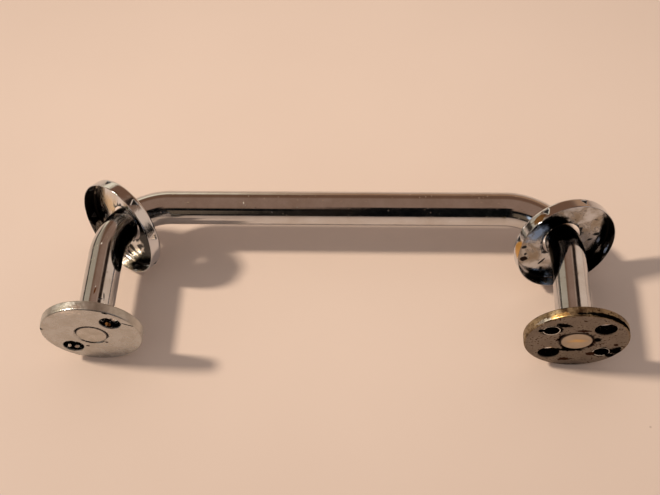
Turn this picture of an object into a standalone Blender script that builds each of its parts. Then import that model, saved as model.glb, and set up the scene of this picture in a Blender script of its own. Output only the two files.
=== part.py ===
"""Wall rail that holds a kitchen paper roll, with two loose flange covers.

A chromed tube is bent into a U. Each leg ends on a round wall flange, held by a turned
plug that runs through the flange into the tube. A pressed cover hangs loose on each bend;
when the rail is screwed to the wall, the cover slides down the leg over its flange.

World axes: X along the bar, Y from the wall face to the bar, Z up. The rail lies on its
flange rims, so the lowest point is z = 0, and x = 0, y = 0 is the middle of its outline.
"""

import math

import bmesh
import bpy
from mathutils import Matrix, Vector

# Driving sizes, in metres
SPAN = 0.2542          # centre of one flange to centre of the other
PROJECTION = 0.0829    # wall face to centre line of the bar
TUBE_R = 0.009525      # 3/4 inch tube
TUBE_WALL = 0.0010
BEND_R = 0.0334        # centre line of the bend
FLANGE_R = 0.0270
FLANGE_T = 0.0056
WALL_EDGE_R = 0.0009   # rounding of the flange's rim at the wall face
ROOM_EDGE_R = 0.0008   # rounding of the rim on the side of the room
SCREW_HOLE_R = 0.00565
SCREW_RIM_LAND = 0.00325   # metal left between a screw hole and the flange's rim
SMALL_HOLE_R = 0.0037
SMALL_HOLE_CHAMFER = 0.0006
PLUG_REACH = 0.012     # how far a plug runs into the tube
PLUG_CHAMFER = 0.0005
BORE_CHAMFER = 0.0009  # at the wall face, round the plug
SHEET_T = 0.0005       # sheet that the covers are pressed from
COVER_DEPTH = 0.0077
COVER_CORNER_R = 0.0020
COVER_HOLE_PLAY = 0.0013   # between tube and cover hole, so a cover passes the bend
DIMPLE_COUNT = 8
DIMPLE_DEPTH = 0.0006
DIMPLE_R = 0.0018

# Named clearances
FIT_GAP = 0.0003       # between fixed pieces that touch
COVER_GAP = 0.00075    # between the flange rim and the inside of a seated cover

# Screw holes: angle round the flange seen from the wall, from the bar's direction to the top
LEFT_SCREW_HOLES = (45.0, 225.0)
RIGHT_SCREW_HOLES = (45.0, 225.0)
RIGHT_SMALL_HOLES = (142.0, 322.0)

# Where the loose covers hang: angle along the bend from the leg, turn of the open side
# away from the wall's direction, lift of the open side, and how far (in metres) the
# middle of the floor lies outside and above the tube's centre line
LEFT_COVER = (42.7, 39.1, 13.1, -0.0001, 0.0001)
RIGHT_COVER = (25.1, 17.4, 14.1, 0.0003, 0.0)
LEFT_DIMPLES_FROM = 22.5
RIGHT_DIMPLES_FROM = 22.5

ROUND_STEPS = 72
TUBE_RING = 40
BEND_STEPS = 16

# Derived sizes
BORE_R = TUBE_R - TUBE_WALL
PLUG_R = BORE_R - FIT_GAP
COVER_INNER_R = FLANGE_R + COVER_GAP
COVER_R = COVER_INNER_R + SHEET_T
COVER_HOLE_R = TUBE_R + COVER_HOLE_PLAY
HOLE_CIRCLE_R = FLANGE_R - SCREW_RIM_LAND - SCREW_HOLE_R
WALL_Y = -(PROJECTION + TUBE_R) / 2
BAR_Y = WALL_Y + PROJECTION
AXIS_Z = FLANGE_R
LEG_X = SPAN / 2
BEND_X = LEG_X - BEND_R
BEND_Y = BAR_Y - BEND_R


def clear_scene():
    for obj in list(bpy.data.objects):
        bpy.data.objects.remove(obj, do_unlink=True)


def new_collection(name):
    group = bpy.data.collections.new(name)
    bpy.context.scene.collection.children.link(group)
    return group


def new_material(name, colour, roughness, metallic=1.0):
    material = bpy.data.materials.new(name)
    material.use_nodes = True
    shader = material.node_tree.nodes["Principled BSDF"]
    shader.inputs["Base Color"].default_value = (*colour, 1.0)
    shader.inputs["Roughness"].default_value = roughness
    shader.inputs["Metallic"].default_value = metallic
    return material


def add_object(name, mesh, group, material=None):
    obj = bpy.data.objects.new(name, mesh)
    group.objects.link(obj)
    if material:
        mesh.materials.append(material)
    return obj


def as_cutter(obj):
    obj.hide_render = True
    obj.display_type = "WIRE"
    return obj


def profile_mesh(name, points, closed):
    """A profile in the XZ plane; on its outer side it runs from top to bottom."""
    edges = [(i, i + 1) for i in range(len(points) - 1)]
    if closed:
        edges.append((len(points) - 1, 0))
    mesh = bpy.data.meshes.new(name)
    mesh.from_pydata([(r, 0.0, z) for r, z in points], edges, [])
    return mesh


def turned(name, points, closed, group, material=None, steps=ROUND_STEPS):
    """A round piece: the profile turned about the object's own Z axis."""
    obj = add_object(name, profile_mesh(name, points, closed), group, material)
    screw = obj.modifiers.new("turn", "SCREW")
    screw.axis = "Z"
    screw.angle = math.tau
    screw.steps = steps
    screw.render_steps = steps
    screw.use_merge_vertices = True
    screw.merge_threshold = 0.00001
    screw.use_smooth_shade = True
    return obj


def boolean(obj, other, operation):
    step = obj.modifiers.new(operation.lower(), "BOOLEAN")
    step.object = other
    step.operation = operation
    step.solver = "EXACT"


def corner(centre_r, centre_z, radius, start, end, count=5):
    """Points of a rounded corner, from start to end degrees."""
    angles = [math.radians(start + (end - start) * i / count) for i in range(count + 1)]
    return [(centre_r + radius * math.cos(a), centre_z + radius * math.sin(a)) for a in angles]


def towards_wall(x):
    """A frame on the wall face at x: its Z axis points out of the wall face."""
    return Matrix.Translation((x, WALL_Y, AXIS_Z)) @ Matrix.Rotation(math.pi / 2, 4, "X")


def frustum(centre, axis, low_r, high_r, length, segments):
    """Vertices and faces of a round stub from centre along axis."""
    mesh = bmesh.new()
    bmesh.ops.create_cone(mesh, cap_ends=True, segments=segments, radius1=low_r,
                          radius2=high_r, depth=length,
                          matrix=Matrix.Translation((0, 0, length / 2)))
    turn = Vector((0, 0, 1)).rotation_difference(axis).to_matrix().to_4x4()
    mesh.transform(Matrix.Translation(centre) @ turn)
    return mesh


def joined(name, stubs, group):
    """One cutter made of separate stubs."""
    whole = bmesh.new()
    for stub in stubs:
        part = bpy.data.meshes.new("stub")
        stub.to_mesh(part)
        stub.free()
        whole.from_mesh(part)
        bpy.data.meshes.remove(part)
    mesh = bpy.data.meshes.new(name)
    whole.to_mesh(mesh)
    whole.free()
    return as_cutter(add_object(name, mesh, group))


# ---- the bent tube ---------------------------------------------------------------

def rail_path(end_y):
    """Centre line from the left leg's end, round both bends, to the right leg's end."""
    half = [(LEG_X, end_y)]
    for i in range(BEND_STEPS + 1):
        a = math.pi / 2 * i / BEND_STEPS
        half.append((BEND_X + BEND_R * math.cos(a), BEND_Y + BEND_R * math.sin(a)))
    left = [(-x, y) for x, y in half]
    return left + half[::-1]


def swept(name, end_y, radius, group, material=None):
    """A round bar along the rail's path, as a mesh."""
    curve = bpy.data.curves.new(name, "CURVE")
    curve.dimensions = "3D"
    curve.bevel_depth = radius
    curve.bevel_resolution = TUBE_RING // 4 - 1
    curve.use_fill_caps = True
    spline = curve.splines.new("POLY")
    path = rail_path(end_y)
    spline.points.add(len(path) - 1)
    for point, (x, y) in zip(spline.points, path):
        point.co = (x, y, AXIS_Z, 1.0)
    source = bpy.data.objects.new(name + "_path", curve)
    group.objects.link(source)
    bpy.context.view_layer.update()
    ready = source.evaluated_get(bpy.context.evaluated_depsgraph_get())
    mesh = bpy.data.meshes.new_from_object(ready)
    bpy.data.objects.remove(source, do_unlink=True)
    work = bmesh.new()
    work.from_mesh(mesh)
    bmesh.ops.remove_doubles(work, verts=work.verts, dist=0.000001)
    bmesh.ops.recalc_face_normals(work, faces=work.faces)
    for face in work.faces:
        face.smooth = len(face.verts) == 4
    work.to_mesh(mesh)
    work.free()
    mesh.materials.clear()
    return add_object(name, mesh, group, material)


def build_tube(parts, cutters, material):
    end_y = WALL_Y + FLANGE_T + FIT_GAP
    tube = swept("rail_tube", end_y, TUBE_R, parts, material)
    bore = as_cutter(swept("rail_bore", end_y - 0.002, BORE_R, cutters))
    boolean(tube, bore, "DIFFERENCE")


# ---- flanges and plugs -----------------------------------------------------------

def flange_profile():
    """Z = 0 is the wall face and the flange reaches down to -FLANGE_T."""
    points = [(BORE_R, -BORE_CHAMFER), (BORE_R + BORE_CHAMFER, 0.0)]
    points += corner(FLANGE_R - WALL_EDGE_R, -WALL_EDGE_R, WALL_EDGE_R, 90, 0)
    points += corner(FLANGE_R - ROOM_EDGE_R, ROOM_EDGE_R - FLANGE_T, ROOM_EDGE_R, 0, -90)
    points += [(BORE_R, -FLANGE_T)]
    return points


def hole_stub(angle, radius, chamfer):
    """A hole through the flange, with its edge at the wall face broken by a chamfer."""
    a = math.radians(angle)
    x, y = HOLE_CIRCLE_R * math.cos(a), HOLE_CIRCLE_R * math.sin(a)
    profile = [(0.0, 0.001), (radius + chamfer + 0.001, 0.001), (radius, -chamfer),
               (radius, -FLANGE_T - 0.001), (0.0, -FLANGE_T - 0.001)]
    mesh = bmesh.new()
    rings = []
    count = 40
    for r, z in profile[1:4]:
        rings.append([mesh.verts.new((x + r * math.cos(math.tau * i / count),
                                      y + r * math.sin(math.tau * i / count), z))
                      for i in range(count)])
    mesh.faces.new(rings[0])
    mesh.faces.new(rings[-1][::-1])
    for upper, lower in zip(rings, rings[1:]):
        for i in range(count):
            j = (i + 1) % count
            mesh.faces.new((upper[i], lower[i], lower[j], upper[j]))
    bmesh.ops.recalc_face_normals(mesh, faces=mesh.faces)
    return mesh


def build_flange(name, x, screw_holes, small_holes, parts, cutters, material):
    flange = turned(name, flange_profile(), True, parts, material)
    stubs = [hole_stub(a, SCREW_HOLE_R, PLUG_CHAMFER / 2) for a in screw_holes]
    stubs += [hole_stub(a, SMALL_HOLE_R, SMALL_HOLE_CHAMFER) for a in small_holes]
    holes = joined(name + "_holes", stubs, cutters)
    flange.matrix_world = towards_wall(x)
    holes.matrix_world = towards_wall(x)
    boolean(flange, holes, "DIFFERENCE")


def build_plug(name, x, parts, material):
    end = -(FLANGE_T + PLUG_REACH)
    c = PLUG_CHAMFER
    profile = [(0.0, 0.0), (PLUG_R - c, 0.0), (PLUG_R, -c), (PLUG_R, end + c),
               (PLUG_R - c, end), (0.0, end)]
    plug = turned(name, profile, False, parts, material, steps=48)
    plug.matrix_world = towards_wall(x)


# ---- loose covers ----------------------------------------------------------------

def cover_profile():
    """Z = 0 is the outside of the floor; the open rim is at +COVER_DEPTH."""
    rim = SHEET_T / 2
    inner_corner = COVER_CORNER_R - SHEET_T
    points = corner(COVER_R - rim, COVER_DEPTH - rim, rim, 180, 0, 4)
    points += corner(COVER_R - COVER_CORNER_R, COVER_CORNER_R, COVER_CORNER_R, 0, -90)
    points += [(COVER_HOLE_R + rim / 2, 0.0), (COVER_HOLE_R, rim / 2),
               (COVER_HOLE_R, SHEET_T - rim / 2), (COVER_HOLE_R + rim / 2, SHEET_T)]
    points += corner(COVER_R - COVER_CORNER_R, COVER_CORNER_R, inner_corner, -90, 0)
    return points


def dimple_stubs(first, start_r, length, low_r, high_r):
    stubs = []
    for i in range(DIMPLE_COUNT):
        a = math.radians(first + 360.0 * i / DIMPLE_COUNT)
        out = Vector((math.cos(a), math.sin(a), 0.0))
        centre = out * start_r + Vector((0, 0, COVER_DEPTH / 2))
        stubs.append(frustum(centre, out, low_r, high_r, length, 16))
    return stubs


def cover_frame(side, hang):
    """Place of a cover on its bend: Z points out of the open side, X lies level."""
    along, turn, lift = (math.radians(a) for a in hang[:3])
    outside, above = hang[3:]
    radius = BEND_R + outside
    centre = Vector((side * (BEND_X + radius * math.cos(along)),
                     BEND_Y + radius * math.sin(along), AXIS_Z + above))
    opening = Vector((side * math.sin(turn) * math.cos(lift),
                      -math.cos(turn) * math.cos(lift), math.sin(lift)))
    up = (Vector((0, 0, 1)) - opening * opening.z).normalized()
    level = up.cross(opening)
    turned_to = Matrix((level, up, opening)).transposed().to_4x4()
    return Matrix.Translation(centre) @ turned_to


def build_cover(name, side, hang, first_dimple, parts, cutters, material):
    pivot = bpy.data.objects.new(name + "_pivot", None)
    pivot.location = (side * BEND_X, BEND_Y, AXIS_Z)
    parts.objects.link(pivot)
    cover = turned(name, cover_profile(), True, parts, material)
    inner = COVER_INNER_R - DIMPLE_DEPTH
    bumps = joined(name + "_bumps", dimple_stubs(
        first_dimple, inner, DIMPLE_DEPTH + SHEET_T * 0.5, DIMPLE_R * 0.7, DIMPLE_R), cutters)
    dents = joined(name + "_dents", dimple_stubs(
        first_dimple, inner + SHEET_T, DIMPLE_DEPTH + SHEET_T, DIMPLE_R * 0.4, DIMPLE_R), cutters)
    bpy.context.view_layer.update()
    place = cover_frame(side, hang)
    cover.parent = pivot
    for obj in (cover, bumps, dents):
        obj.matrix_world = place
    boolean(cover, bumps, "UNION")
    boolean(cover, dents, "DIFFERENCE")


def main():
    clear_scene()
    parts = new_collection("paper_roll_rail")
    cutters = new_collection("cutters")
    tube_chrome = new_material("tube_chrome", (0.72, 0.70, 0.67), 0.08)
    left_plate = new_material("left_plate", (0.62, 0.59, 0.54), 0.22)
    right_plate = new_material("right_plate", (0.34, 0.28, 0.23), 0.45)
    left_turned = new_material("left_turned", (0.64, 0.60, 0.54), 0.20)
    right_turned = new_material("right_turned", (0.60, 0.50, 0.42), 0.30)
    left_chrome = new_material("left_chrome", (0.70, 0.68, 0.64), 0.10)
    right_chrome = new_material("right_chrome", (0.70, 0.67, 0.62), 0.12)
    build_tube(parts, cutters, tube_chrome)
    build_flange("wall_flange_left", -LEG_X, LEFT_SCREW_HOLES, (), parts, cutters, left_plate)
    build_flange("wall_flange_right", LEG_X, RIGHT_SCREW_HOLES, RIGHT_SMALL_HOLES,
                 parts, cutters, right_plate)
    build_plug("end_plug_left", -LEG_X, parts, left_turned)
    build_plug("end_plug_right", LEG_X, parts, right_turned)
    build_cover("cover_left", -1, LEFT_COVER, LEFT_DIMPLES_FROM, parts, cutters, left_chrome)
    build_cover("cover_right", 1, RIGHT_COVER, RIGHT_DIMPLES_FROM, parts, cutters, right_chrome)
    bpy.context.view_layer.update()


main()
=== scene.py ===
"""Looks of a chromed wall rail for a kitchen paper roll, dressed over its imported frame.

The rail lies on its flange rims on a pale table. Every visible piece is a fine mesh built
here over the solid it stands for, with a finish made of nodes.
"""

import logging
import math
from dataclasses import dataclass, field
from enum import Enum
from typing import Any

import bmesh
import bpy
import numpy as np
from mathutils import Matrix, Vector


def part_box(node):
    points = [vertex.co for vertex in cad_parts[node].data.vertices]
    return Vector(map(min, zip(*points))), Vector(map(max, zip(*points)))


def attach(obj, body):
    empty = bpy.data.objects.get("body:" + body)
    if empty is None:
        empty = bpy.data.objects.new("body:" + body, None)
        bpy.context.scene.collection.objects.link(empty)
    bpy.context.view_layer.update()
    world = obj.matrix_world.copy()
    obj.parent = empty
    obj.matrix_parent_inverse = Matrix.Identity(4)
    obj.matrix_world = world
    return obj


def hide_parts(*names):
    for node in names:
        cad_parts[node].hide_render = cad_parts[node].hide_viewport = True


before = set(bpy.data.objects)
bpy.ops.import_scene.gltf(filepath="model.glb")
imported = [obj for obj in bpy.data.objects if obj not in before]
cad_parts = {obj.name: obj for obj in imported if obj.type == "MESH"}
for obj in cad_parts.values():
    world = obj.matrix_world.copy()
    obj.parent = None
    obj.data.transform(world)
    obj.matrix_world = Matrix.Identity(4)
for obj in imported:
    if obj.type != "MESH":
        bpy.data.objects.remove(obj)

LOG = logging.getLogger("wall_rail")
MM = 0.001
Point = tuple[float, float]
Tree = bpy.types.NodeTree


# ---- small helpers ---------------------------------------------------------------

def linear(code: str) -> tuple[float, float, float, float]:
    """Turns an sRGB hex colour to linear RGBA.

    Args:
        code: six hex digits, such as "8a7a66".

    Returns:
        Red, green, blue and an alpha of 1.
    """
    values = [int(code[i:i + 2], 16) / 255 for i in (0, 2, 4)]
    r, g, b = (v / 12.92 if v <= 0.04045 else ((v + 0.055) / 1.055) ** 2.4 for v in values)
    return (r, g, b, 1.0)


def link(tree: Tree, source: Any, target: Any) -> None:
    """Links a socket, or a node's first output, to an input."""
    tree.links.new(source.outputs[0] if isinstance(source, bpy.types.Node) else source, target)


def add(tree: Tree, kind: str, inputs: dict[Any, Any] | None = None,
        stops: tuple[tuple[float, Any], ...] = (), **settings: Any) -> Any:
    """Adds one node with its settings and links.

    Args:
        tree: the node tree.
        kind: the node's type name without "ShaderNode".
        inputs: input name or number to a node or socket, which is linked, or to a plain value.
        stops: places on a colour ramp, each with a grey level or a hex colour.
        **settings: attributes of the node.

    Returns:
        The new node.
    """
    node = tree.nodes.new("ShaderNode" + kind)
    for name, value in settings.items():
        setattr(node, name, value)
    for key, value in (inputs or {}).items():
        if isinstance(value, (bpy.types.Node, bpy.types.NodeSocket)):
            link(tree, value, node.inputs[key])
        else:
            node.inputs[key].default_value = value
    if stops:
        elements = node.color_ramp.elements
        while len(elements) < len(stops):
            elements.new(0.5)
        for element, (place, colour) in zip(elements, stops):
            element.position = place
            element.color = linear(colour) if isinstance(colour, str) else (colour,) * 3 + (1.0,)
    return node


def mesh_object(name: str, verts: list[Any], faces: list[Any]) -> bpy.types.Object:
    """Makes a smooth-shaded object from points and faces, with its normals facing out.

    Args:
        name: the piece's name.
        verts: points in metres.
        faces: corner numbers of each face.

    Returns:
        The object, linked to the scene.
    """
    mesh = bpy.data.meshes.new(name)
    mesh.from_pydata(verts, [], faces)
    work = bmesh.new()
    work.from_mesh(mesh)
    bmesh.ops.remove_doubles(work, verts=work.verts, dist=1e-7)
    bmesh.ops.recalc_face_normals(work, faces=work.faces)
    for face in work.faces:
        face.smooth = True
    work.to_mesh(mesh)
    work.free()
    mesh.set_sharp_from_angle(angle=math.radians(40))
    obj = bpy.data.objects.new(name, mesh)
    bpy.context.scene.collection.objects.link(obj)
    return obj


def keep_flats(obj: bpy.types.Object) -> None:
    """Keeps flat faces flat beside rounded edges by weighting normals by face area.

    Args:
        obj: the piece, in place.
    """
    step = obj.modifiers.new("flat faces", "WEIGHTED_NORMAL")
    step.keep_sharp = True
    step.weight = 90


def corner(r: float, z: float, radius: float, start: float, end: float, count: int = 8
           ) -> list[Point]:
    """Points of a rounded corner.

    Args:
        r: centre's distance from the axis.
        z: centre's height.
        radius: corner radius.
        start: first angle in degrees.
        end: last angle in degrees.
        count: number of steps.

    Returns:
        Profile points from start to end.
    """
    angles = [math.radians(start + (end - start) * i / count) for i in range(count + 1)]
    return [(r + radius * math.cos(a), z + radius * math.sin(a)) for a in angles]


def lathe(profile: list[Point], steps: int, closed: bool) -> tuple[list[Any], list[Any]]:
    """Turns a profile about the Z axis.

    Args:
        profile: (distance from axis, height) points.
        steps: how many steps round.
        closed: whether the last point joins the first.

    Returns:
        Points and faces.
    """
    count = len(profile)
    verts = [(r * math.cos(math.tau * s / steps), r * math.sin(math.tau * s / steps), z)
             for s in range(steps) for r, z in profile]
    faces = []
    for s in range(steps):
        a, b = s * count, (s + 1) % steps * count
        for i in range(count if closed else count - 1):
            j = (i + 1) % count
            faces.append((a + i, b + i, b + j, a + j))
    return verts, faces


# ---- where the solids are --------------------------------------------------------

@dataclass(frozen=True)
class Layout:
    """Sizes of the rail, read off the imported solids."""

    low: Vector
    high: Vector
    tube_r: float
    flange_r: float
    flange_t: float
    bend_r: float = 33.4 * MM

    @classmethod
    def read(cls) -> "Layout":
        """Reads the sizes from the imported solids' boxes.

        Returns:
            The sizes.
        """
        plate_low, plate_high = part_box("wall_flange_right")
        tube_low, tube_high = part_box("rail_tube")
        flange_r = (plate_high.x - plate_low.x) / 2
        leg_x = (plate_high.x + plate_low.x) / 2
        return cls(plate_low, tube_high, tube_high.x - leg_x, flange_r,
                   plate_high.y - plate_low.y)

    @property
    def leg_x(self) -> float:
        """Distance of a leg's centre line from the middle."""
        return self.low.x + self.flange_r

    @property
    def wall_y(self) -> float:
        """Where the wall faces of the flanges lie."""
        return self.low.y

    @property
    def axis_z(self) -> float:
        """Height of the tube's centre line over the table."""
        return self.low.z + self.flange_r

    @property
    def bar_y(self) -> float:
        """Where the bar's centre line lies."""
        return self.high.y - self.tube_r

    @property
    def bend_x(self) -> float:
        """Distance of a bend's centre from the middle."""
        return self.leg_x - self.bend_r

    @property
    def bend_y(self) -> float:
        """Where the bends' centres lie."""
        return self.bar_y - self.bend_r

    def wall_frame(self, side: int) -> Matrix:
        """A frame on a flange's wall face, with its Z axis out of that face.

        Args:
            side: -1 for the left flange, 1 for the right one.

        Returns:
            The frame's matrix.
        """
        place = Matrix.Translation((side * self.leg_x, self.wall_y, self.axis_z))
        return place @ Matrix.Rotation(math.pi / 2, 4, "X")


# ---- finishes --------------------------------------------------------------------

class Wear(Enum):
    """How far a plate's finish has gone."""

    DULL = "dull"
    CORRODED = "corroded"


class Tone(Enum):
    """What a mark is made of, or the painted light or shade it stands for: colour, roughness, and how metallic
    it stays.
    """

    # Black grime, and also painted shade in the cover dents, round the covers' holes and inside the bores.
    GRIME_AND_SHADE = ("060403", 0.5, 0.0)
    # Painted dark reflection: a black glossy patch where the chrome shows something dark.
    DARK_REFLECTION = ("0b0908", 0.16, 1.0)
    RUST = ("3a2012", 0.8, 0.3)
    BROWN = ("8f6a42", 0.2, 1.0)
    AMBER = ("b8873e", 0.35, 0.6)
    STRAW = ("d6c3a4", 0.24, 1.0)
    # Painted golden highlight.
    GOLD_HIGHLIGHT = ("d9b376", 0.3, 1.0)
    # Bright bare metal and dried drops, and also painted highlights.
    SILVER = ("e9e4db", 0.24, 1.0)
    # Painted bluish reflection.
    BLUE_REFLECTION = ("c0d8fa", 0.3, 0.2)


@dataclass(frozen=True)
class Mark:
    """A stained, rusted or worn spot, or a painted highlight, reflection or shade, in a piece's own frame, in
    millimetres.
    """

    at: tuple[float, float, float]
    size: tuple[float, float, float]
    tone: Tone = Tone.GRIME_AND_SHADE
    turn: float = 0.0
    ragged: float = 0.3
    soft: float = 0.25
    inner: bool = True


@dataclass
class Coat:
    """Colour, roughness and metal of a finish while layers are laid over it."""

    tree: Tree
    base: Any
    rough: Any
    metal: Any = 1.0

    def lay(self, mask: Any, tone: Tone) -> None:
        """Lays one tone over the coat where the mask is one.

        Args:
            mask: node or socket of the mask.
            tone: what is laid.
        """
        code, rough, metal = tone.value
        self.base = add(self.tree, "MixRGB", {0: mask, 1: self.base, 2: linear(code)})
        self.rough = add(self.tree, "Mix", {0: mask, 2: self.rough, 3: rough})
        self.metal = add(self.tree, "Mix", {0: mask, 2: self.metal, 3: metal})

    def mark(self, place: Any, wobble: Any, mark: Mark, inside: Any = 1.0) -> None:
        """Lays one ragged spot.

        Args:
            place: socket of the piece's own coordinates.
            wobble: a fine noise that breaks the outline.
            mark: the spot.
            inside: mask that keeps an inner spot off the outside.
        """
        at, size = (tuple(v * MM for v in sides) for sides in (mark.at, mark.size))
        away = add(self.tree, "VectorMath", {0: place, 1: at}, operation="SUBTRACT")
        away = add(self.tree, "VectorRotate", {0: away, "Angle": math.radians(-mark.turn)},
                   rotation_type="Z_AXIS")
        away = add(self.tree, "VectorMath", {0: away, 1: size}, operation="DIVIDE")
        away = add(self.tree, "VectorMath", {0: away}, operation="LENGTH").outputs["Value"]
        # The noise lies round a half, so the edge goes out by half of the noise's sway.
        sway = 8 * mark.ragged
        edge = 1.0 + sway / 2
        away = add(self.tree, "Math", {0: wobble, 1: sway, 2: away}, operation="MULTIPLY_ADD")
        mask = add(self.tree, "MapRange", {"Value": away, 1: edge + mark.soft / 2,
                                           2: edge - mark.soft / 2})
        if not mark.inner:
            inside = add(self.tree, "Math", {0: 1.0, 1: inside}, operation="SUBTRACT")
        self.lay(add(self.tree, "Math", {0: mask, 1: inside}, operation="MULTIPLY"), mark.tone)

    def plug_in(self, shader: Any, normal: Any) -> None:
        """Links the coat to a shader.

        Args:
            shader: the shader node.
            normal: the bumped normal.
        """
        for source, name in ((self.base, "Base Color"), (self.rough, "Roughness"),
                             (self.metal, "Metallic"), (normal, "Normal")):
            link(self.tree, source, shader.inputs[name])


@dataclass(frozen=True)
class Finish:
    """What every finish starts with."""

    name: str

    def start(self) -> tuple[bpy.types.Material, Tree, Any, Any]:
        """Makes the material.

        Returns:
            The material, its tree, its shader, and the socket of its own coordinates.
        """
        material = bpy.data.materials.new(self.name)
        material.use_nodes = True
        tree = material.node_tree
        shader = tree.nodes["Principled BSDF"]
        place = add(tree, "TexCoord").outputs["Object"]
        return material, tree, shader, place


def polar(tree: Tree, place: Any) -> tuple[Any, Any, Any]:
    """Splits a piece's own coordinates round its Z axis.

    Args:
        tree: the node tree.
        place: socket of the coordinates.

    Returns:
        The flat position, the distance from the axis, and the height.
    """
    parts = add(tree, "SeparateXYZ", {0: place})
    across = add(tree, "CombineXYZ", {0: parts.outputs[0], 1: parts.outputs[1]})
    radius = add(tree, "VectorMath", {0: across}, operation="LENGTH").outputs["Value"]
    return across, radius, parts.outputs[2]


@dataclass(frozen=True)
class BentChrome(Finish):
    """Chromium plate on bent steel tube, polished, then years of handling.

    To the eye: a dark mirror with faint draw lines, a light haze and dried drops.
    """

    colour: str = "d0d2d6"
    clouded: str = "bfbcb9"
    roughness: float = 0.05
    haze: float = 0.12
    ripple: float = 0.03
    marks: tuple[Mark, ...] = ()

    def build(self) -> bpy.types.Material:
        """Builds the node material.

        Returns:
            The finished material.
        """
        material, tree, shader, place = self.start()
        # Hazy patches about 15 mm wide, broken by finer smears of about 2 mm.
        patches = add(tree, "TexNoise", {"Vector": place, "Scale": 65.0, "Detail": 6.0,
                                         "Roughness": 0.6})
        smears = add(tree, "TexNoise", {"Vector": place, "Scale": 450.0, "Detail": 3.0})
        base = add(tree, "ValToRGB", {0: patches}, ((0.3, self.colour), (0.7, self.clouded)))
        smeared = add(tree, "Math", {0: patches, 1: smears}, operation="MULTIPLY")
        rough = add(tree, "MapRange", {"Value": smeared, 1: 0.12, 2: 0.42, 3: self.roughness,
                                       4: self.roughness + self.haze})
        coat = Coat(tree, base, rough)
        # Dried drops 0.6 mm wide, some 6 mm apart; more and smaller ones where it is hazy.
        cells = add(tree, "TexVoronoi", {"Vector": place, "Scale": 165.0})
        fine = add(tree, "TexVoronoi", {"Vector": place, "Scale": 420.0})
        large = add(tree, "ValToRGB", {0: cells}, ((0.0, 1.0), (0.055, 1.0), (0.08, 0.0)))
        small = add(tree, "ValToRGB", {0: fine}, ((0.0, 1.0), (0.1, 1.0), (0.16, 0.0)))
        hazy = add(tree, "MapRange", {"Value": patches, 1: 0.5, 2: 0.6})
        small = add(tree, "Math", {0: small, 1: hazy}, operation="MULTIPLY")
        drops = add(tree, "Math", {0: large, 1: small}, operation="MAXIMUM")
        coat.lay(add(tree, "Math", {0: drops, 1: 0.8}, operation="MULTIPLY"), Tone.SILVER)
        wobble = add(tree, "TexNoise", {"Vector": place, "Scale": 300.0, "Detail": 6.0,
                                        "Roughness": 0.65})
        # The marks include painted dark reflections near the covers.
        for mark in self.marks:
            coat.mark(place, wobble, mark)
        # Draw lines a few tenths of a millimetre apart along the bar, coarser than real.
        drawn = add(tree, "Mapping", {0: place, "Scale": (25.0, 900.0, 900.0)})
        lines = add(tree, "TexNoise", {"Vector": drawn, "Scale": 1.0, "Detail": 2.0})
        bump = add(tree, "Bump", {"Height": patches, "Strength": self.ripple,
                                  "Distance": 2 * MM})
        bump = add(tree, "Bump", {"Height": lines, "Strength": 0.03, "Distance": 0.1 * MM,
                                  "Normal": bump})
        bump = add(tree, "Bump", {"Height": drops, "Strength": 0.6, "Distance": 0.12 * MM,
                                  "Normal": bump})
        coat.plug_in(shader, bump)
        return material


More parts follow.
